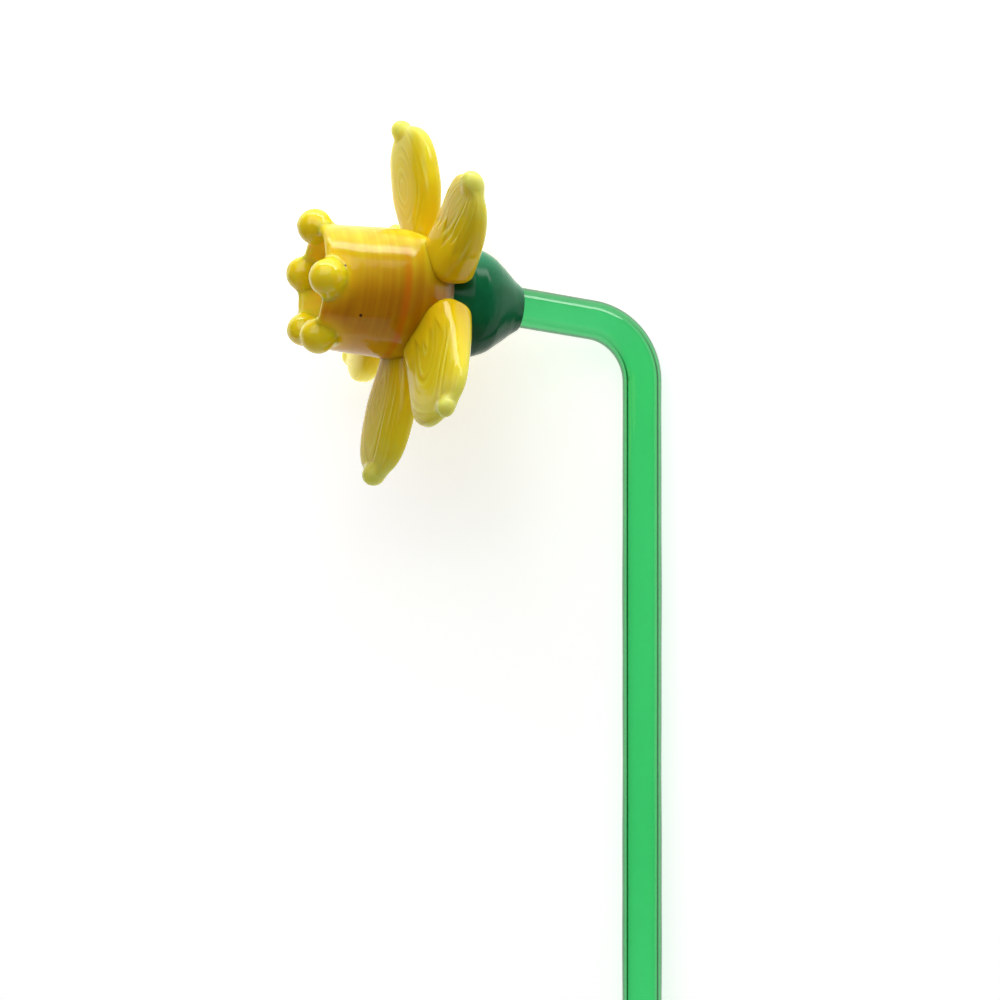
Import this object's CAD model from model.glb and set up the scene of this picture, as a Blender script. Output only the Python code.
# %% [markdown]
# # A glass daffodil, worked at the lamp
# A lampworker makes this flower from coloured glass rods: a clear green rod for the stem, an
# opaque dark green gather for the calyx, a trumpet wound from hot amber glass and hollowed out,
# five beads melted onto its rim, and six petals, each a dab of glass pressed flat with a veined
# tool. The engineer's model is loaded first as a fixed frame. It has the right sizes and places
# but plain facets, so every piece is worked out again here as a fine numpy surface.

# %% Load the frame and keep its box
import math

import bpy
import numpy as np
from mathutils import Matrix, Vector


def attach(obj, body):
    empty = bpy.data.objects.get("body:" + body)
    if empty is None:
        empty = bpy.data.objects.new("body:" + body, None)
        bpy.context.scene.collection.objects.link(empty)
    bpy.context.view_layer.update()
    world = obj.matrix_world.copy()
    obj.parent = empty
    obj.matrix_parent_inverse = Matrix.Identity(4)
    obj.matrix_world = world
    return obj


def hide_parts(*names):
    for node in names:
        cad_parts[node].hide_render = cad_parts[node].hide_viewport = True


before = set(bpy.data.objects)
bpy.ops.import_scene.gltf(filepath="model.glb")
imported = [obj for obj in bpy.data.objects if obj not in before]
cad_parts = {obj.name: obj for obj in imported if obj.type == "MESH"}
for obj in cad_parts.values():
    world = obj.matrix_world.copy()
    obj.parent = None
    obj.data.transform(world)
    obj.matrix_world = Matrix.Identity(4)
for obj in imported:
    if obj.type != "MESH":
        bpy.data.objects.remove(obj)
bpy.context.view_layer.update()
MM = 0.001
print("the frame's pieces:", sorted(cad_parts))

# %% [markdown]
# ## Two frames to work in
# The glass was bent at the bench, so its shapes are simplest in the maker's own frames. In the
# rod's frame the straight stem runs down -Y from the corner of the bend, and the arm leaves
# towards -X. In the flower's frame +Z comes out of the trumpet's mouth. The flower has been laid
# down: it rolled about its stem until a petal touched, and that roll turns both frames at once.

# %% The rod's frame and the flower's frame
ROLL = math.radians(14.72)                       # how far the flower rolled about its stem
REST = Vector((23.438, 118.803, 3.0)) * MM       # where the corner of the bend came to lie
ARM_RISE, HEAD_RISE, HEAD_TILT = (math.radians(a) for a in (8.55, 5.7, 16.0))
ARM_LENGTH = 19.5 * MM
HEAD_OFFSET = Vector((0.0, -0.25, 0.0)) * MM


def leaning(rise):
    """The direction that leans up along the stem by `rise` and out of the bend by the tilt."""
    return Vector((-math.cos(rise) * math.cos(HEAD_TILT), math.sin(rise),
                   math.cos(rise) * math.sin(HEAD_TILT)))


def flower_frame():
    """Z is the flower's axis and X the direction square to it that leans towards the rod's +Z."""
    axis = leaning(HEAD_RISE)
    across = (Vector((0, 0, 1)) - axis * axis.z).normalized()
    turned = Matrix((across, axis.cross(across), axis)).transposed().to_4x4()
    turned.translation = leaning(ARM_RISE) * ARM_LENGTH + HEAD_OFFSET
    return turned


ROD = Matrix.Translation(REST) @ Matrix.Rotation(ROLL, 4, "Y")
FLOWER = ROD @ flower_frame()


def placed(points, matrix):
    """Every point moved by a 4 x 4 matrix, as one array."""
    m = np.array(matrix)
    return points @ m[:3, :3].T + m[:3, 3]


print("the mouth looks along", [round(c, 3) for c in FLOWER.col[2][:3]])

# %% [markdown]
# ## A skin from a grid
# Every piece of hot glass ends up as one smooth closed skin. Each is made the same way: rings of
# points, one after the other along the piece, joined by quads, with the two ends closed by a fan
# to a single point. A skin also carries its own chart: u runs along the rings, v round them.

# %% Put rings of points into a mesh
def skin(name, rings, start, end, marks=None):
    """Closes rings (n, m, 3) into a mesh: a quad between neighbours, a triangle fan to each end
    point. `marks` are numbers per ring point, kept on the mesh for the materials to read."""
    n, m = rings.shape[:2]
    verts = np.vstack([rings.reshape(-1, 3), [start], [end]])
    i, j = np.meshgrid(np.arange(n - 1), np.arange(m), indexing="ij")
    k = (j + 1) % m
    quads = np.stack([i * m + j, (i + 1) * m + j, (i + 1) * m + k, i * m + k], -1).reshape(-1, 4)
    u0, u1, v0, v1 = i / (n - 1), (i + 1) / (n - 1), j / m, (j + 1) / m
    quad_uv = np.stack([np.stack([u0, v0], -1), np.stack([u1, v0], -1), np.stack([u1, v1], -1),
                        np.stack([u0, v1], -1)], 2).reshape(-1, 2)
    a = np.arange(m)
    b = (a + 1) % m
    first = np.stack([np.full(m, n * m), a, b], -1)
    last = np.stack([np.full(m, n * m + 1), (n - 1) * m + b, (n - 1) * m + a], -1)
    fan_uv = [np.stack([np.full((m, 3), float(edge)),
                        np.stack([(a + 0.5) / m, p / m, q / m], -1)], -1).reshape(-1, 2)
              for edge, p, q in ((0, a, a + 1), (1, a + 1, a))]
    faces = np.concatenate([quads.ravel(), first.ravel(), last.ravel()])
    sizes = np.concatenate([np.full(len(quads), 4), np.full(2 * m, 3)])
    uv = np.vstack([quad_uv, *fan_uv])
    starts = np.concatenate([[0], np.cumsum(sizes)[:-1]])

    corner = verts[quads]                     # the volume's sign says which way the faces point
    volume = np.einsum("ij,ij->", corner[:, 0], np.cross(corner[:, 1], corner[:, 2])
                       + np.cross(corner[:, 2], corner[:, 3]))
    if volume < 0:
        flip = np.concatenate([np.arange(s, s + c)[::-1] for s, c in
                               zip(starts[-2 * m:], sizes[-2 * m:])])
        quad_flip = np.arange(len(quads) * 4).reshape(-1, 4)[:, ::-1].ravel()
        order = np.concatenate([quad_flip, flip])
        faces, uv = faces[order], uv[order]

    mesh = bpy.data.meshes.new(name)
    mesh.vertices.add(len(verts))
    mesh.vertices.foreach_set("co", verts.astype(np.float32).ravel())
    mesh.loops.add(len(faces))
    mesh.loops.foreach_set("vertex_index", faces.astype(np.int32))
    mesh.polygons.add(len(sizes))
    mesh.polygons.foreach_set("loop_start", starts.astype(np.int32))
    mesh.uv_layers.new(name="chart").data.foreach_set("uv", uv.astype(np.float32).ravel())
    for mark, values in (marks or {}).items():
        layer = mesh.attributes.new(mark, "FLOAT", "POINT")
        ends = [values[0].mean(), values[-1].mean()]
        layer.data.foreach_set("value", np.append(values.ravel(), ends).astype(np.float32))
    mesh.update(calc_edges=True)
    mesh.validate()
    mesh.shade_smooth()
    piece = bpy.data.objects.new(name, mesh)
    bpy.context.scene.collection.objects.link(piece)
    print(f"{name}: {len(sizes)} faces")
    return piece


def settle(piece, material, slot, *nodes):
    """Gives a piece its glass, puts it on the object's one body and lets it stand for its node."""
    piece.data.materials.append(material)
    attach(piece, "root")
    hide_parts(*nodes)


def along(points, x):
    """A smooth curve through (x, y) points that never overshoots between them."""
    px, py = np.array(points, float).T
    h, chord = np.diff(px), np.diff(py) / np.diff(px)
    before, after = chord[:-1], chord[1:]
    same_way = before * after > 0
    inner = np.where(same_way, 2 * before * after / np.where(same_way, before + after, 1), 0)
    slope = np.concatenate([chord[:1], inner, chord[-1:]])
    x = np.clip(x, px[0], px[-1])
    k = np.clip(np.searchsorted(px, x) - 1, 0, len(px) - 2)
    t = (x - px[k]) / h[k]
    return ((2 * t**3 - 3 * t**2 + 1) * py[k] + (t**3 - 2 * t**2 + t) * h[k] * slope[k]
            + (3 * t**2 - 2 * t**3) * py[k + 1] + (t**3 - t**2) * h[k] * slope[k + 1])


def eased(low, high, x):
    """0 below `low`, 1 above `high`, and an S-shaped rise between them."""
    t = np.clip((x - low) / (high - low), 0, 1)
    return t * t * (3 - 2 * t)


def ripple(*waves):
    """A sum of sine waves, each (size, phase array), for the small unevenness of hand work."""
    return sum(size * np.sin(phase) for size, phase in waves)


# %% [markdown]
# ## Writing a material as sums
# Blender's materials are networks of nodes. Wiring each by hand hides what they work out, so a
# small class lets a socket be added, subtracted or multiplied like a number, on either side of
# the sign, and every sum puts its own Math node on the bench. Colours don't go through Math
# nodes, which would turn them grey: they are mixed by `tint`.

# %% A bench where a glass is mixed
class Wire:
    """The output of a node, usable in sums."""

    def __init__(self, bench, socket):
        self.bench, self.socket = bench, socket

    def maths(self, operation, *values):
        return self.bench.node("ShaderNodeMath", {"operation": operation},
                               dict(enumerate(values)))

    def __add__(self, other):
        return self.maths("ADD", self, other)

    def __sub__(self, other):
        return self.maths("SUBTRACT", self, other)

    def __rsub__(self, other):
        return self.maths("SUBTRACT", other, self)

    def __mul__(self, other):
        return self.maths("MULTIPLY", self, other)

    __radd__, __rmul__ = __add__, __mul__

    def rise(self, low, high):
        """0 below `low`, 1 above `high`, S-shaped between; `high` may be the lower one."""
        settings = {"interpolation_type": "SMOOTHSTEP"}
        values = {"Value": self, "From Min": low, "From Max": high}
        return self.bench.node("ShaderNodeMapRange", settings, values)


class Bench:
    """A material on one Principled shader, and the nodes that feed it."""

    def __init__(self, name, **constants):
        self.material = bpy.data.materials.new(name)
        self.material.use_nodes = True
        self.tree = self.material.node_tree
        self.shader = self.tree.nodes["Principled BSDF"]
        self.set(**constants)

    def node(self, kind, settings=None, values=None, output=0):
        """A node: its settings first, then numbers or wires for its sockets, by name or place."""
        made = self.tree.nodes.new(kind)
        for key, value in (settings or {}).items():
            if key == "stops":
                while len(made.color_ramp.elements) < len(value):
                    made.color_ramp.elements.new(0.5)
                for stop, (place, colour) in zip(made.color_ramp.elements, value):
                    stop.position, stop.color = place, (*colour, 1.0)
            else:
                setattr(made, key, value)
        for key, value in (values or {}).items():
            self.plug(made.inputs[key], value)
        return Wire(self, made.outputs[output])

    def plug(self, socket, value):
        if isinstance(value, Wire):
            self.tree.links.new(value.socket, socket)
        elif socket.type == "RGBA":
            socket.default_value = (*value, 1.0)
        else:
            socket.default_value = value

    def set(self, **values):
        """Feeds the shader: an underscore in a name stands for a space."""
        for key, value in values.items():
            self.plug(self.shader.inputs[key.replace("_", " ")], value)

    def tint(self, share, colour, other):
        """`colour` where share is 0, `other` where it is 1. Each may be a wire."""
        settings = {"data_type": "RGBA", "clamp_factor": True}
        return self.node("ShaderNodeMix", settings, {0: share, 6: colour, 7: other}, output=2)

    def mark(self, name):
        """A number that the piece's skin carries."""
        settings = {"attribute_type": "GEOMETRY", "attribute_name": name}
        return self.node("ShaderNodeAttribute", settings, output="Fac")

    def place(self, scale=(1, 1, 1)):
        """Where a point is in the piece, in metres times `scale`."""
        here = self.node("ShaderNodeTexCoord", output="Object")
        return self.node("ShaderNodeMapping", {}, {"Vector": here, "Scale": scale})

    def cloud(self, size, detail=2.0, scale=(1, 1, 1), distortion=0.0):
        """Soft noise whose lumps are `size` metres across, about 0.5 on average."""
        values = {"Vector": self.place(scale), "Scale": 1 / size, "Detail": detail,
                  "Distortion": distortion}
        return self.node("ShaderNodeTexNoise", {}, values)


# %% [markdown]
# ## The stem
# The stem is 6 mm rod of clear green glass, drawn round and smooth, bent at the lamp over a
# radius of about a rod and a half, and rounded at its cut end in the flame. A circle carried
# along a path gives exactly that: along the arm, round an arc, down the straight, and over a
# quarter circle at the end, where the circle shrinks to nothing.

# %% Sweep the rod
STEM_RADIUS, STEM_LENGTH, BEND_RADIUS = 3.0 * MM, 268.5 * MM, 9.3 * MM
DRAWN_THIN = 0.010                               # the rod is drawn this share under its size
STEM_SIDES = 96


def stem_path():
    """Centre line and radius: a straight line from the calyx, an arc of constant radius in the
    plane of arm and stem, a straight line down, and radius R cos(a) at R sin(a) past its end."""
    arm, down = np.array(leaning(ARM_RISE)), np.array([0.0, -1.0, 0.0])
    turn = math.pi - math.acos(arm @ down)
    reach = BEND_RADIUS * math.tan(turn / 2)
    middle = (arm + down) / np.linalg.norm(arm + down) * BEND_RADIUS / math.cos(turn / 2)
    first, last = arm * reach - middle, down * reach - middle
    a = np.linspace(0, 1, 60)[:, None]
    arc = middle + (np.sin((1 - a) * turn) * first + np.sin(a * turn) * last) / math.sin(turn)
    lead = arm * np.linspace(ARM_LENGTH + 0.7 * MM, reach + 0.2 * MM, 30)[:, None]
    straight = down * np.linspace(reach + 0.5 * MM, STEM_LENGTH - STEM_RADIUS, 240)[:, None]
    b = np.linspace(0, math.radians(86), 20)[1:, None]
    tip = down * (STEM_LENGTH - STEM_RADIUS + STEM_RADIUS * np.sin(b))
    line = np.vstack([lead, arc, straight, tip])
    radius = np.concatenate([np.full(len(line) - len(b), STEM_RADIUS), STEM_RADIUS * np.cos(b[:, 0])])
    return line, radius, np.cross(arm, down) / math.sin(turn)


def swept(line, radius, side, around):
    """A ring round each point of the line, in the plane square to the line there: the point plus
    radius (cos a side + sin a up), with a radius of its own for each of the angles `around`."""
    forward = np.gradient(line, axis=0)
    forward /= np.linalg.norm(forward, axis=1, keepdims=True)
    up = np.cross(forward, side)
    a = around[None, :, None]
    return line[:, None] + radius[..., None] * (np.cos(a) * side + np.sin(a) * up[:, None])


line, radius, side = stem_path()
travelled = np.concatenate([[0], np.cumsum(np.linalg.norm(np.diff(line, axis=0), axis=1))])
drawn = ripple((0.008, travelled / (7.3 * MM)), (0.005, travelled / (2.9 * MM) + 1.0))
around = np.linspace(0, 2 * math.pi, STEM_SIDES, endpoint=False)
oval = ripple((0.005, 2 * around[None] + travelled[:, None] / (40 * MM)))
stem_rings = swept(line, (radius * (1 + drawn - DRAWN_THIN))[:, None] * (1 + oval), side, around)
stem_end = line[-1] + (line[-1] - line[-2]) / np.linalg.norm(line[-1] - line[-2]) * 1e-5
outward = (stem_rings - line[:, None]) / np.maximum(radius, 0.1 * MM)[:, None, None]
flank = np.linalg.norm(np.cross(outward, [0, 0, 1.0]), axis=-1)
past_bend = eased(13 * MM, 25 * MM, travelled)[:, None]
stem = skin("rod", placed(stem_rings, ROD), placed(line[0], ROD), placed(stem_end, ROD),
            {"flank": flank, "past_bend": past_bend + 0 * flank})

# %% [markdown]
# Clear glass takes its look from what is behind it: here the pale floor, seen green. Colour in a
# drawn rod is never quite even. It was gathered in layers, and where two layers meet they leave a
# darker cord along each flank of the rod, from the bend on. Towards its very edge the rod is
# darker all along. So the skin carries two marks: how far a point is out on the flank, and how
# far past the bend. The shader lets light through and colours it. Lamps don't shine through such
# a shader by themselves, so for their rays it is swapped for a plain transparent green, which
# keeps the shadow on the floor light and coloured. Real rod also has seed, tiny bubbles drawn
# out along it.

# %% Mix the clear green glass
def seed_bubbles(bench, size, share, scale):
    """Small round spots, 1 in a bubble and 0 elsewhere, in only a few of a grid's cells."""
    where = {"Vector": bench.place(scale), "Scale": 1 / size}
    near = bench.node("ShaderNodeTexVoronoi", {}, where)
    cell = bench.node("ShaderNodeTexVoronoi", {}, where, output="Color")
    lot = bench.node("ShaderNodeSeparateColor", {}, {"Color": cell})
    return near.rise(0.16, 0.08) * lot.rise(share, share - 0.002)


green = Bench("clear_green_glass", Roughness=0.03, IOR=1.5, Transmission_Weight=1.0)
drift = green.cloud(14 * MM, detail=3.0, scale=(1, 0.25, 1))
CLEAR_GREEN, FRESH_GREEN, SEED_GREEN = (0.055, 0.54, 0.17), (0.070, 0.58, 0.20), (0.03, 0.22, 0.08)
FLANK_GREEN, CORD_GREEN = (0.035, 0.36, 0.105), (0.0008, 0.018, 0.004)
EDGE_GREEN, SHADOW_GREEN = (0.004, 0.06, 0.025), (0.55, 0.92, 0.68)
colour = green.tint(drift.rise(0.35, 0.65), CLEAR_GREEN, FRESH_GREEN)
flank = green.mark("flank") + (green.cloud(6 * MM, detail=3.0, scale=(1, 0.1, 1)) - 0.5) * 0.04
colour = green.tint(flank.rise(0.40, 0.74) * 0.7, colour, FLANK_GREEN)
cord = flank.rise(0.69, 0.73) * flank.rise(0.82, 0.78) * green.mark("past_bend")
colour = green.tint(cord, colour, CORD_GREEN)
colour = green.tint(flank.rise(0.84, 0.95) * 0.95, colour, EDGE_GREEN)
seeds = seed_bubbles(green, 2.2 * MM, 0.05, (1, 0.5, 1))
green.set(Base_Color=green.tint(seeds * 0.7, colour, SEED_GREEN))
for_lamps = green.tree.nodes.new("ShaderNodeBsdfTransparent")
for_lamps.inputs["Color"].default_value = (*SHADOW_GREEN, 1.0)
to_lamp = green.node("ShaderNodeLightPath", output="Is Shadow Ray")
swap = green.node("ShaderNodeMixShader", {}, {0: to_lamp})
green.tree.links.new(green.shader.outputs[0], swap.socket.node.inputs[1])
green.tree.links.new(for_lamps.outputs[0], swap.socket.node.inputs[2])
green.tree.links.new(swap.socket, green.tree.nodes["Material Output"].inputs["Surface"])
settle(stem, green.material, "stem_glass", "stem")

# %% [markdown]
# ## The calyx
# The calyx is a gather of opaque dark green glass, turned in the flame into an onion: nearly a
# cone where it leaves the rod, with a small shoulder there, full in the middle, and drawn in
# again under the petals. It is a profile turned about the flower's axis, a little uneven because
# a hand turned it.

# %% Turn the calyx
CALYX = [(0.0, 2.9), (0.08, 3.3), (0.4, 3.55), (1.4, 4.3), (2.2, 5.02), (3.0, 5.7), (3.9, 6.45),
         (4.8, 7.15), (5.9, 7.7), (7.2, 8.05), (8.8, 8.1), (10.4, 7.7), (12.0, 7.1)]


def turned(height, radius, around):
    """Points at (radius cos a, radius sin a, height), all in millimetres, in the world."""
    points = np.stack([radius * np.cos(around), radius * np.sin(around), height + 0 * around], -1)
    return placed(points * MM, FLOWER)


def on_axis(height):
    """The point on the flower's axis `height` millimetres above the arm's end."""
    return placed(np.array([0.0, 0.0, height]) * MM, FLOWER)


height = np.linspace(CALYX[0][0], CALYX[-1][0], 150)[:, None]
around = np.linspace(0, 2 * math.pi, 240, endpoint=False)[None]
uneven = ripple((0.05, 2 * around + 0.4 * height), (0.03, 3 * around - 0.7 * height + 1),
                (0.012, 9 * around + 0.9 * height), (0.015, 2.1 * height + around))
calyx_rings = turned(height, along(CALYX, height) + uneven * eased(0, 4, height), around)
calyx = skin("onion", calyx_rings, on_axis(CALYX[0][0] - 0.05), on_axis(CALYX[-1][0]),
             {"sky": 0.5 + 0.5 * np.sin(around) + 0 * height})

# %% [markdown]
# The dark green is opaque, but the flame leaves faint lighter swirls where clear glass from the
# rod is dragged into it. The mark "sky" goes from 0 on one side of the flower to 1 on the other,
# and the green is tinted paler towards 1 and darker towards 0. That tint isn't a property of the
# glass. It is shading, chosen to look right as the flower lies under these lamps, and it stays
# where it is if the lamps are moved.

# %% Mix the dark green glass
dark = Bench("dark_green_glass", Roughness=0.16, IOR=1.5, Specular_IOR_Level=0.16)
swirl = dark.cloud(5 * MM, detail=4.0, distortion=1.4)
BOTTLE, SWIRL, PALE_SIDE, DEEP_SIDE = ((0.004, 0.120, 0.044), (0.007, 0.150, 0.058),
                                       (0.016, 0.240, 0.110), (0.002, 0.045, 0.015))
body = dark.tint(swirl.rise(0.35, 0.7), BOTTLE, SWIRL)
body = dark.tint(dark.mark("sky").rise(0.70, 1.0), body, PALE_SIDE)
dark.set(Base_Color=dark.tint(dark.mark("sky").rise(0.45, 0.05) * 0.8, body, DEEP_SIDE))
settle(calyx, dark.material, "calyx_glass", "calyx")

# %% [markdown]
# ## The trumpet
# The corona is wound: a thread of soft amber glass is laid round and round, melted in, opened out
# at the mouth and hollowed. Five hot beads are pressed onto its rim and sink in until there is no
# edge left between bead and wall. The skin follows one profile, out along the back, up the
# outside, over the rounded lip and down the inside to the floor, with the unevenness of the hand
# added square to it.

# %% Sizes of the trumpet and its beads
LOBE_CIRCLE = 8.6
LOBES = [(96.0, 31.95, 2.6), (167.5, 31.25, 2.5), (229.0, 31.0, 2.4), (299.5, 30.9, 2.65),
         (5.5, 31.5, 2.65)]
OUTSIDE = [(11.9, 7.0), (13.0, 7.75), (14.0, 8.3), (16.0, 9.2), (18.5, 9.72), (21.5, 9.62),
           (25.0, 9.42), (28.0, 9.2), (30.9, 8.92)]
INSIDE = [(18.8, 0.3), (18.9, 2.6), (19.4, 4.8), (20.4, 6.4), (22.0, 7.2), (25.0, 7.42),
          (30.9, 7.42)]
LIP, BORE = 0.75, 7.42
TALL = 20                                        # its height, so that its marks run from 0 to 1


def lobe_middle(angle, height):
    """Where a bead sits on the rim, in millimetres in the flower's frame."""
    a = math.radians(angle)
    return np.array([LOBE_CIRCLE * math.cos(a), LOBE_CIRCLE * math.sin(a), height])


# %% [markdown]
# To run a bead and the wall together, both skins are moved to one shared surface. Each point has a
# distance to the wall and a distance to each bead, and the shared surface is where the smaller
# distance, rounded off where the two are nearly equal, is nought. A point steps along its own
# normal by what is left of that distance until nothing is left.

# %% Run beads and wall together
RUN = 1.2                                        # how far from the seam the glass has flowed
FLOW_STEPS = 8
LEAST, MOST, TUCKED = -0.1, 0.9, 0.12            # limits of a step, and how deep a skin is tucked


def to_wall(points):
    """Distance to the trumpet's wall near its mouth: beyond the lip, to a ring as thick as the
    lip, and below it, to the nearer of the outside curve and the bore."""
    r, z = np.hypot(points[..., 0], points[..., 1]), points[..., 2]
    rim, middle = OUTSIDE[-1][0], OUTSIDE[-1][1] - LIP
    beside = np.maximum(r - along(OUTSIDE, z), BORE - r)
    return np.where(z > rim, np.hypot(r - middle, z - rim) - LIP, beside)


def to_bead(points, lobe):
    angle, height, radius = lobe
    return np.linalg.norm(points - lobe_middle(angle, height), axis=-1) - radius


def lesser(a, b):
    """The smaller of two distances, less up to a quarter of RUN where they are equal."""
    share = np.clip(0.5 + 0.5 * (b - a) / RUN, 0, 1)
    return b * (1 - share) + a * share - RUN * share * (1 - share)


def flowed(points, normals, own):
    """How far each point moves along its normal to lie on the shared surface. `own` gives its
    distance to its own piece, and past the seam it stays just under the other piece's skin."""
    moved = np.zeros(points.shape[:-1])
    for _ in range(FLOW_STEPS):
        here = points + moved[..., None] * normals
        left = to_wall(here)
        for lobe in LOBES:
            left = lesser(left, to_bead(here, lobe))
        moved = np.clip(moved - left, LEAST, MOST)
    here = points + moved[..., None] * normals
    other = np.min([to_bead(here, lobe) for lobe in LOBES], axis=0)
    other = other - to_wall(here) if own == "wall" else to_wall(here) - other
    return moved - TUCKED * eased(0.05, -0.35, other)


# %% Wind the trumpet
def trumpet_profile():
    """(height, radius, share of outer surface): the outside curve, half a circle over the lip,
    and the inside curve, with the distance between points even along each."""
    out_h = np.linspace(OUTSIDE[0][0], OUTSIDE[-1][0], 190)
    a = np.linspace(math.pi / 2, -math.pi / 2, 30)[1:-1]
    spans = np.array(INSIDE, float)
    step = np.concatenate([[0], np.cumsum(np.hypot(*np.diff(spans, axis=0).T))])
    t = np.linspace(step[-1], 0, 90)
    in_h = along(list(zip(step, spans[:, 0])), t)
    in_r = along(list(zip(step, spans[:, 1])), t)
    rim, middle = OUTSIDE[-1][0], OUTSIDE[-1][1] - LIP
    h = np.concatenate([out_h, rim + LIP * np.cos(a), in_h])
    r = np.concatenate([along(OUTSIDE, out_h), middle + LIP * np.sin(a), in_r])
    outer = np.concatenate([np.ones(len(out_h)), 0.5 + 0.5 * np.sin(a), np.zeros(len(t))])
    return h, r, outer


h, r, outer = trumpet_profile()
around = np.linspace(0, 2 * math.pi, 320, endpoint=False)[None]
slope_h, slope_r = np.gradient(h), np.gradient(r)
length = np.hypot(slope_h, slope_r)
normal_h, normal_r = (-slope_r / length)[:, None], (slope_h / length)[:, None]
H, R, OUTER = h[:, None] + 0 * around, r[:, None] + 0 * around, outer[:, None] + 0 * around
turns = H + 0.30 * np.sin(around + 0.8) + 0.18 * np.sin(2 * around + 2)
wound = ripple((0.0015, turns * 2 * math.pi / 1.35), (0.003, turns * 2 * math.pi / 3.1 + 1),
               (0.04, 2 * around + H * 0.35), (0.035, 3 * around - H * 0.5 + 2),
               (0.010, 5 * around + H * 0.9), (0.004, 3 * around + 1.7 * H + 4))
point = np.stack([R * np.cos(around), R * np.sin(around), H], -1)
normal = np.stack([normal_r * np.cos(around), normal_r * np.sin(around), normal_h + 0 * around], -1)
gap = np.min([to_bead(point, lobe) for lobe in LOBES], axis=0)
lift = wound * (0.35 + 0.65 * OUTER) * eased(12, 14, H) + flowed(point, normal, "wall") * (gap < 4)
point = point + lift[..., None] * normal
corona = skin("trumpet", placed(point * MM, FLOWER), on_axis(OUTSIDE[0][0]), on_axis(INSIDE[0][0]),
              {"height": (H - 12) / TALL, "outer": OUTER, "turns": turns / TALL,
               "sky": 0.5 + 0.5 * np.sin(around) + 0 * H, "by_bead": np.exp(-(gap / 1.6) ** 2)})

# %% [markdown]
# The amber is streaky: each turn of the thread has its own shade from lemon to orange, one turn
# near the petals is clearly orange, and the glass pales to tan where it was drawn thin behind
# the petals. Glass from the beads has run a little way into the wall, and the lining is paler.
# Streaks follow the winding, so they are worked out from the same "turns" as the rings in the
# skin. The amber is tinted by "sky" as the calyx is, for the same reason: bright where that is 1,
# deep towards 0, and a little paler again underneath. Light soaks into the glass and comes out
# nearby, which is the shader's subsurface part.

# %% Mix the amber glass
STRAW, LEMON_STREAK = (0.76, 0.59, 0.014), (0.82, 0.70, 0.026)
AMBER, ORANGE_STREAK = (0.56, 0.235, 0.002), (0.64, 0.31, 0.003)
DEEP_AMBER, UNDERSIDE, SEAM = (0.54, 0.21, 0.002), (0.74, 0.40, 0.006), (0.74, 0.20, 0.001)
TAN, HONEY, LINING = (0.60, 0.42, 0.22), (0.97, 0.68, 0.010), (0.96, 0.82, 0.08)
BUBBLE = (0.05, 0.03, 0.01)
amber = Bench("amber_glass", Roughness=0.10, IOR=1.5, Specular_IOR_Level=0.34,
              Subsurface_Weight=0.8, Subsurface_Radius=(1.0, 0.50, 0.05), Subsurface_Scale=2.8 * MM)
turn = amber.mark("turns")
streaks = amber.node("ShaderNodeTexNoise", {"noise_dimensions": "1D"},
                     {"W": turn * TALL, "Scale": 0.8, "Detail": 1.5, "Roughness": 0.5})
slow = amber.cloud(9 * MM, detail=2.0, distortion=0.6)
sky = amber.mark("sky")
bright = amber.tint(streaks.rise(0.3, 0.7), STRAW, LEMON_STREAK)
deep = amber.tint(streaks.rise(0.3, 0.7), AMBER, ORANGE_STREAK)
gold = amber.tint(sky.rise(0.92, 0.40), bright, deep)
gold = amber.tint(slow.rise(0.40, 0.75) * 0.35, gold, DEEP_AMBER)
gold = amber.tint(sky.rise(0.30, 0.05), gold, UNDERSIDE)
seam = turn.rise(0.955, 0.990) * turn.rise(1.050, 1.000) * sky.rise(0.95, 0.55)
gold = amber.tint(seam * slow.rise(0.30, 0.55) * 0.7, gold, SEAM)
gold = amber.tint(amber.mark("height").rise(0.10, 0.02), gold, TAN)
gold = amber.tint(amber.mark("by_bead") * 0.9, gold, HONEY)
gold = amber.tint(amber.mark("outer").rise(0.95, 0.3) * 0.9, gold, LINING)
gold = amber.tint(seed_bubbles(amber, 1.9 * MM, 0.02, (1, 1, 1)), gold, BUBBLE)
amber.set(Base_Color=gold)
settle(corona, amber.material, "corona_glass", "corona")

# %% [markdown]
# ## Beads on the rim
# Each bead is a ball whose radius varies a little with direction, so that no two are alike. Its
# skin is found by the same steps as the wall's, so the two meet on the shared surface.

# %% Melt the beads
lemon = Bench("lemon_glass", Roughness=0.05, IOR=1.5, Subsurface_Weight=0.9,
              Subsurface_Radius=(1.0, 0.7, 0.08), Subsurface_Scale=1.8 * MM)
LEMON, BUTTER = (0.95, 0.72, 0.010), (0.95, 0.76, 0.022)
cloudy = lemon.cloud(3.5 * MM, detail=3.0, distortion=1.0)
lemon.set(Base_Color=lemon.tint(cloudy.rise(0.35, 0.7), LEMON, BUTTER))


def bead(lobe, phase):
    """Points at middle + radius (1 + small waves) times each direction of a sphere, flowed."""
    angle, height, radius = lobe
    middle = lobe_middle(angle, height)
    down = np.linspace(0, math.pi, 82)[1:-1, None]
    turn = np.linspace(0, 2 * math.pi, 150, endpoint=False)[None]
    unit = np.stack([np.sin(down) * np.cos(turn), np.sin(down) * np.sin(turn),
                     np.cos(down) + 0 * turn], -1)
    start = middle + radius * unit
    waves = radius * ripple((0.010, 2 * turn + phase + 2 * down), (0.012, 2 * down + phase * 2),
                            (0.006, 3 * turn - phase + down))
    reach = (flowed(start, unit, "bead") + waves)[..., None] * unit
    return start + reach, middle + [0, 0, radius], middle - [0, 0, radius]


for i, lobe in enumerate(LOBES, 1):
    ball = skin(f"bead_{i}", *(placed(p * MM, FLOWER) for p in bead(lobe, 1.7 * i)))
    settle(ball, lemon.material, "lobe_glass", f"lobe_{i}")

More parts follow.
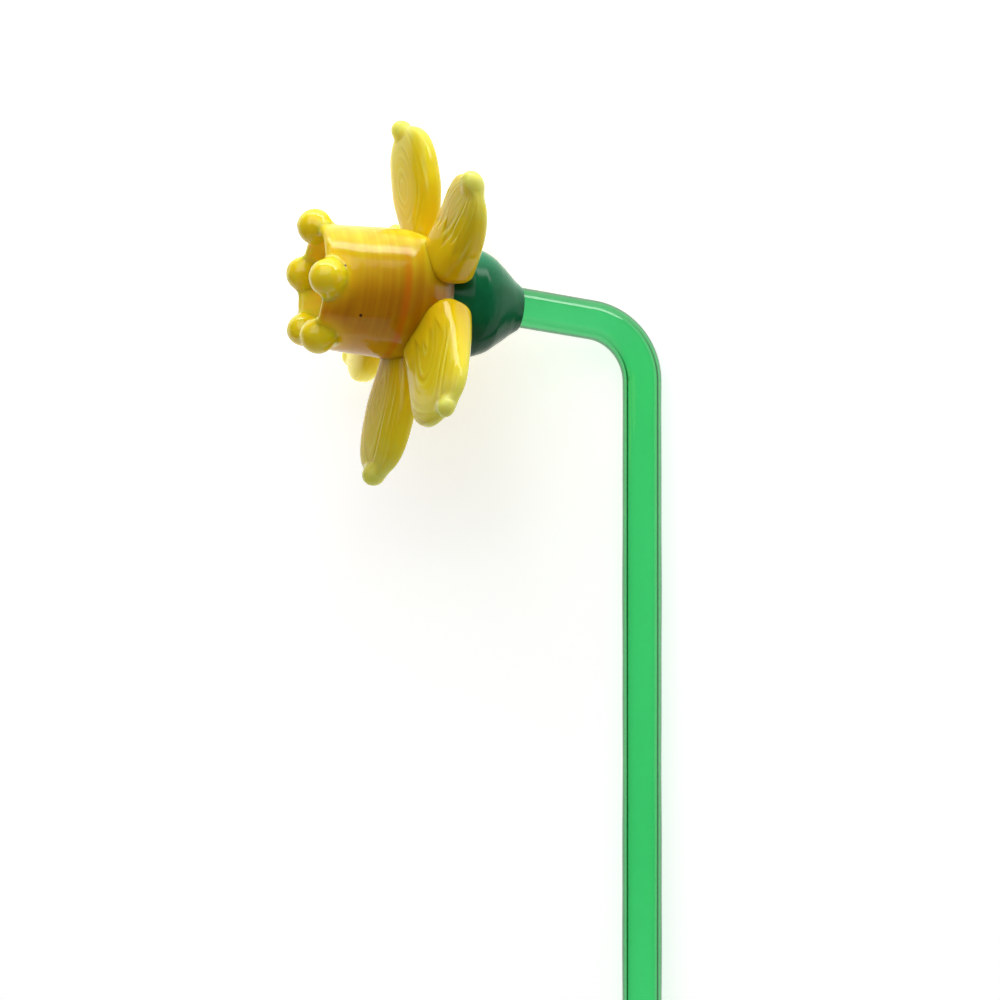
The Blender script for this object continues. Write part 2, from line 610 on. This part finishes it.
# %% [markdown]
# ## Petals
# Each petal is a dab of yellow glass set on the trumpet, drawn out, and pressed while soft
# between a flat tool and a veined one. It is thick, round at its edges and back. Its front is
# pressed in a little and carries fine veins in long ovals, one inside the other like the grain
# of a board. At the tip the glass was pulled away and left a small knob. Each petal's `veins`
# say where along it they begin and end, how strong they are, and how the ovals are centred and
# how short they are: one petal shows whole ovals, another only their long sides.
#
# The skin is found by looking out from a line inside the petal in every direction square to its
# length. The distance to the blade's oval section and to the knob's ball are both known exactly,
# and the larger one, rounded off where they are equal, is the surface.

# %% Press the petals
PETAL_CIRCLE, ROOT_DEPTH, ROOT_ROUNDING = 7.5, 1.2, 3.0
KNOB_BLEND, KNOB_OVERLAP, SQUARENESS, HALVINGS = 1.2, 0.75, 2.85, 20
PRESSED_IN, VEIN_HEIGHT = 0.20, 0.026            # depth of the pressed face, height of its veins
# Angles are in degrees and lengths in millimetres; root and heel are shares of width and thickness.
PETALS = [
    dict(angle=102.1, height=15.4, length=20.1, width=10.7, thick=4.65, lean=3.7, yaw=6.3, twist=13.0,
         cup=1.65, bow=-0.1, side=0.6, front=0.55, knob=1.65, root=0.51, heel=1.0, taper=8.0, belly=0.0,
         veins=(0.1, 0.86, 0.8, 0.5, 2.0)),
    dict(angle=36.6, height=13.5, length=17.8, width=10.7, thick=4.65, lean=-7.1, yaw=11.8, twist=14.0,
         cup=2.5, bow=-0.25, side=-0.05, front=0.05, knob=1.95, root=0.84, heel=1.4, taper=6.5, belly=0.1,
         veins=(0.42, 0.93, 1.2, 0.9, 0.5)),
    dict(angle=-32.9, height=14.3, length=21.5, width=12.5, thick=4.9, lean=1.3, yaw=-7.6, twist=-20.2,
         cup=0.75, bow=-0.8, side=0.85, front=0.3, knob=1.55, root=1.0, heel=1.25, taper=8.0, belly=0.3,
         veins=(0.30, 0.93, 1.1, 0.35, 1.3)),
    dict(angle=-91.4, height=17.0, length=21.1, width=10.4, thick=4.6, lean=5.0, yaw=4.0, twist=-17.7,
         cup=0.85, bow=0.0, side=0.1, front=0.35, knob=1.75, root=0.58, heel=1.1, taper=7.0, belly=0.0,
         veins=(0.08, 0.86, 1.0, 0.45, 1.2)),
    dict(angle=-150.9, height=19.0, length=17.1, width=11.0, thick=4.9, lean=-2.0, yaw=-7.5, twist=-1.0,
         cup=0.7, bow=0.65, side=-0.45, front=0.25, knob=1.75, root=0.59, heel=1.1, taper=6.0, belly=0.0,
         veins=(0.2, 0.8, 0.6, 0.5, 2.0)),
    dict(angle=156.0, height=15.2, length=17.8, width=9.8, thick=4.5, lean=0.0, yaw=4.0, twist=5.0,
         cup=0.4, bow=0.0, side=0.4, front=0.2, knob=1.65, root=0.55, heel=1.0, taper=6.5, belly=0.0,
         veins=(0.1, 0.86, 1.0, 0.5, 1.6)),
]


def blade_reach(ox, oy, dx, dy, a, b):
    """How far a ray from (ox, oy) along (dx, dy) runs before it leaves |x/a|^n + |y/b|^n = 1,
    narrowed down by halving from the ray's nearest point to the middle; 0 where it misses."""
    a, b = np.maximum(a, 1e-6), np.maximum(b, 1e-6)

    def inside(t):
        return (np.abs((ox + t * dx) / a) ** SQUARENESS + np.abs((oy + t * dy) / b) ** SQUARENESS
                < 1)

    near = np.maximum(-(ox * dx / a**2 + oy * dy / b**2) / ((dx / a) ** 2 + (dy / b) ** 2), 0)
    hit = inside(near)
    far = near + 3 * np.maximum(a, b) + np.hypot(ox, oy)
    for _ in range(HALVINGS):
        middle = (near + far) / 2
        keep = inside(middle)
        near, far = np.where(keep, middle, near), np.where(keep, far, middle)
    return np.where(hit, near, 0.0)


def ball_reach(ox, oy, dx, dy, square):
    """How far the ray runs before it leaves a circle of this radius squared: the larger root of
    a quadratic, and 0 where the ray misses."""
    q = ox * dx + oy * dy
    rest = q**2 - ox**2 - oy**2 + square
    return np.where((rest > 0) & (square > 0), -q + np.sqrt(np.maximum(rest, 0)), 0.0)


def run_together(a, b, soft):
    """The larger of two reaches, rounded off over `soft` where they are nearly equal."""
    share = np.clip(0.5 + 0.5 * (a - b) / soft, 0, 1)
    joined = b * (1 - share) + a * share + soft * share * (1 - share)
    return np.where(a <= 0, b, np.where(b <= 0, a, joined))


def blade_outline(kind, x):
    """Half the blade's width and half its thickness, x mm from its root: both swell from the
    root's share to full by mid-length, and close at the tip as (1 - share^taper)^power."""
    share = np.clip(x / (kind["length"] - KNOB_OVERLAP * kind["knob"]), 0, 1)
    swell = eased(0, 0.5, share)
    rounded = np.sqrt(1 - (1 - np.clip((x + ROOT_DEPTH) / ROOT_ROUNDING, 0, 1)) ** 2)
    width = (kind["root"] + (1 - kind["root"]) * swell) * (1 - share ** kind["taper"]) ** 0.55
    thickness = (kind["heel"] + (1 - kind["heel"]) * swell) * (1 - share**6) ** 0.5
    return width * rounded * kind["width"] / 2, thickness * rounded * kind["thick"] / 2, share


def pressed_veins(q, s, phase, centre, squash):
    """Long ovals on the face, where sqrt(q^2 + (squash (s - centre))^2) is constant, with q = y /
    half-width. Three sets of ovals wander across each other, so the veins swell, fade and fork
    as pressed ones do."""
    oval = np.hypot(q + 0.12 * np.sin(5 * s + phase), squash * (s - centre))
    combs = ripple((0.50, 2 * math.pi * (5.3 * oval + 0.30 * np.sin(4.3 * s + phase))),
                   (0.35, 2 * math.pi * (7.9 * oval - 0.35 * np.sin(3.1 * s + 2 * phase))),
                   (0.25, 2 * math.pi * (11.9 * oval + 0.25 * np.sin(9.0 * s + 3 * phase))))
    return combs * (0.75 + 0.25 * np.sin(11 * s + 6 * q + phase))


def petal_skin(kind, phase):
    """Rings of a petal in its own frame, in millimetres: x from root to tip, y across, z to the
    front. The front is lowered by PRESSED_IN (1 - |q|^5), with q = y / half-width, so that it is
    flat with a rounded rim, and the veins stand proud of it."""
    s = (1 - np.cos(np.linspace(0, math.pi, 262)[1:-1, None])) / 2
    turn = np.linspace(0, 2 * math.pi, 300, endpoint=False)[None]
    x = s * (kind["length"] + ROOT_DEPTH) - ROOT_DEPTH
    a, b, share = blade_outline(kind, x)
    bend = eased(0.55, 0.95, share)
    bow = kind["bow"] * share * np.sin(math.pi * share)
    ox, oy = bend * kind["side"], bend * kind["front"]
    dx, dy = np.cos(turn), np.sin(turn)
    square = kind["knob"] ** 2 - (x - kind["length"] + kind["knob"]) ** 2
    to_knob = ball_reach(ox - kind["side"], oy - kind["front"], dx, dy, square)
    reach = run_together(blade_reach(ox - bow, oy, dx, dy, a, b), to_knob, KNOB_BLEND)
    y, z = ox + reach * dx, oy + reach * dy
    z = z * np.where(z < 0, 1 + kind["belly"] * (1 - 2 * eased(0.3, 0.85, share)), 1)

    low, high, strength, centre, squash = kind["veins"]
    q = (y - bow) / np.maximum(a, 0.5)
    ragged = 0.05 * np.sin(9 * q + phase) + 0.03 * np.sin(23 * q + 2 * phase)
    face = eased(0.12, 0.55, z / np.maximum(b, 0.3)) * eased(1.05, 0.93, np.abs(q))
    front = face * eased(low - 0.06, low + 0.04, s + ragged) * eased(high + 0.08, high - 0.08, s)
    veins = pressed_veins(q, s, phase, centre, squash)
    dent = PRESSED_IN * (1 - np.clip(np.abs(q), 0, 1) ** 5)
    z = z - front * (dent - VEIN_HEIGHT * strength * veins) + kind["cup"] * s**2
    rings = np.stack([x + 0 * turn, y, z], -1)
    back = np.array([-ROOT_DEPTH, 0.0, 0.0])
    tip = np.array([kind["length"], kind["side"], kind["front"] + kind["cup"]])
    marks = {"share": s + 0 * turn, "front": front * min(strength, 1),
             "vein": 0.5 + 0.5 * np.clip(veins, -1, 1)}
    return rings, back, tip, marks


def petal_frame(kind):
    """Root on the trumpet's circle, X outwards, then yaw, lean and twist about its own axes."""
    angle, yaw, lean, twist = (math.radians(kind[k]) for k in ("angle", "yaw", "lean", "twist"))
    root = Matrix.Translation(Vector((PETAL_CIRCLE * math.cos(angle),
                                      PETAL_CIRCLE * math.sin(angle), kind["height"])) * MM)
    return (root @ Matrix.Rotation(angle + yaw, 4, "Z") @ Matrix.Rotation(-lean, 4, "Y")
            @ Matrix.Rotation(twist, 4, "X"))


# %% [markdown]
# The petals' glass runs from gold at the root through lemon to a pale lime knob. The pressed
# grooves hold more colour, and the ridges between them are paler, as thin glass is. Where a petal
# comes near the lit table, light enters it from below and it glows a little. The shader's
# subsurface part doesn't carry light that far, so the glow is added by height above the table. It
# is fixed too, and stays if the flower is laid another way or lit by other lamps.

# %% Mix the petals' glass and set the petals
yellow = Bench("petal_glass", Roughness=0.06, IOR=1.5, Specular_IOR_Level=0.22,
               Subsurface_Weight=0.9, Subsurface_Radius=(1.0, 0.80, 0.10),
               Subsurface_Scale=3.6 * MM)
share, vein, front = (yellow.mark(name) for name in ("share", "vein", "front"))
patchy = yellow.cloud(4 * MM, detail=3.0, distortion=0.8)
GOLD_TO_LIME = [(0.0, (0.80, 0.50, 0.006)), (0.30, (0.80, 0.58, 0.008)),
                (0.70, (0.78, 0.66, 0.025)), (0.96, (0.72, 0.73, 0.17))]
PRESSED, RIDGE, GROOVE = (0.62, 0.47, 0.006), (0.84, 0.80, 0.16), (0.54, 0.40, 0.01)
NO_GLOW, TABLE_GLOW = (0.0, 0.0, 0.0), (0.30, 0.26, 0.004)
blade = yellow.node("ShaderNodeValToRGB", {"stops": GOLD_TO_LIME},
                    {"Fac": share + (patchy - 0.5) * 0.2})
blade = yellow.tint(front * 0.35, blade, PRESSED)
blade = yellow.tint(front * vein.rise(0.55, 0.95) * 0.55, blade, RIDGE)
blade = yellow.tint(front * vein.rise(0.40, 0.05) * 0.55, blade, GROOVE)
height = yellow.node("ShaderNodeSeparateXYZ", {}, {"Vector": yellow.place()}, output="Z")
through = yellow.tint(height.rise(20 * MM, 9 * MM), NO_GLOW, TABLE_GLOW)
yellow.set(Base_Color=blade, Emission_Color=through, Emission_Strength=1.0)
for i, kind in enumerate(PETALS, 1):
    rings, back, tip, marks = petal_skin(kind, 1.3 * i)
    matrix = FLOWER @ petal_frame(kind)
    petal = skin(f"pressed_petal_{i}", *(placed(p * MM, matrix) for p in (rings, back, tip)),
                 marks)
    settle(petal, yellow.material, "petal_glass", f"petal_{i}")

# %% [markdown]
# ## Floor, light and camera
# The flower lies on a plain pale floor. Glass shows what surrounds it, so light is mostly broad
# and soft: a pale floor that glows a little by itself, as a lit table does, a long strip low
# beyond the flower's head that draws the bright band along everything that curves towards it, a
# wide soft lamp above that, and a weak warm one on the near side. The camera looks down almost
# square to the stem.

# %% Lay the floor
FLOOR_HALF, FLOOR_DROP = 2.0, 0.02 * MM


def plane(name, half, material):
    """A flat square whose side is twice `half`."""
    mesh = bpy.data.meshes.new(name)
    mesh.from_pydata([(-half, -half, 0), (half, -half, 0), (half, half, 0), (-half, half, 0)], [],
                     [(0, 1, 2, 3)])
    mesh.materials.append(material)
    made = bpy.data.objects.new(name, mesh)
    bpy.context.scene.collection.objects.link(made)
    return made


pale = Bench("pale_floor", Roughness=0.9, Base_Color=(0.86, 0.86, 0.86), Emission_Strength=0.60,
             Emission_Color=(1.0, 1.0, 1.0))
floor = plane("floor", FLOOR_HALF, pale.material)
floor.location.z = -FLOOR_DROP

# %% Hang the lamps
def lamp(name, place, target, size, glow, tone=(1.0, 1.0, 1.0)):
    """A soft rectangular lamp at `place` that faces `target`, both in metres. `glow` is how bright
    its face is; its power is pi times that times its area."""
    data = bpy.data.lights.new(name, "AREA")
    data.shape = "RECTANGLE"
    data.size, data.size_y = size
    data.energy = math.pi * glow * size[0] * size[1]
    data.color = tone
    made = bpy.data.objects.new(name, data)
    made.location = place
    made.rotation_euler = (Vector(target) - Vector(place)).to_track_quat("-Z", "Y").to_euler()
    bpy.context.scene.collection.objects.link(made)
    return made


head = Vector(on_axis(20.0))
beside = Vector((0.15, 0, 0))                    # the strip reaches past the arm of the stem
lamp("lamp_strip", head + beside + Vector((0, 0.45, 0.03)), head + beside, (0.85, 0.12), 7.0)
lamp("lamp_soft", head + Vector((0, 0.45, 0.55)), head, (0.90, 0.70), 1.7)
lamp("lamp_near", head + Vector((0, -0.50, 0.15)), head, (0.90, 0.30), 0.48, (1.0, 0.93, 0.78))

world = bpy.data.worlds.new("room")
world.use_nodes = True
world.node_tree.nodes["Background"].inputs["Color"].default_value = (0.95, 0.97, 1.0, 1.0)
world.node_tree.nodes["Background"].inputs["Strength"].default_value = 0.10
bpy.context.scene.world = world

# %% Set the camera
LENS, SPAN = 135.0, 150.0 * MM                   # focal length, and width seen at the stem
camera_data = bpy.data.cameras.new("camera")
camera_data.lens = LENS
camera_data.clip_start, camera_data.clip_end = 0.01, 10.0
distance = SPAN / 2 / (camera_data.sensor_width / 2 / LENS)
camera = bpy.data.objects.new("camera", camera_data)
camera.matrix_world = ROD @ Matrix.Translation((-21.3 * MM, -25.725 * MM, distance))
bpy.context.scene.collection.objects.link(camera)
bpy.context.scene.camera = camera
bpy.context.scene.view_settings.view_transform = "Standard"
print("camera at", [round(c, 3) for c in camera.matrix_world.translation])
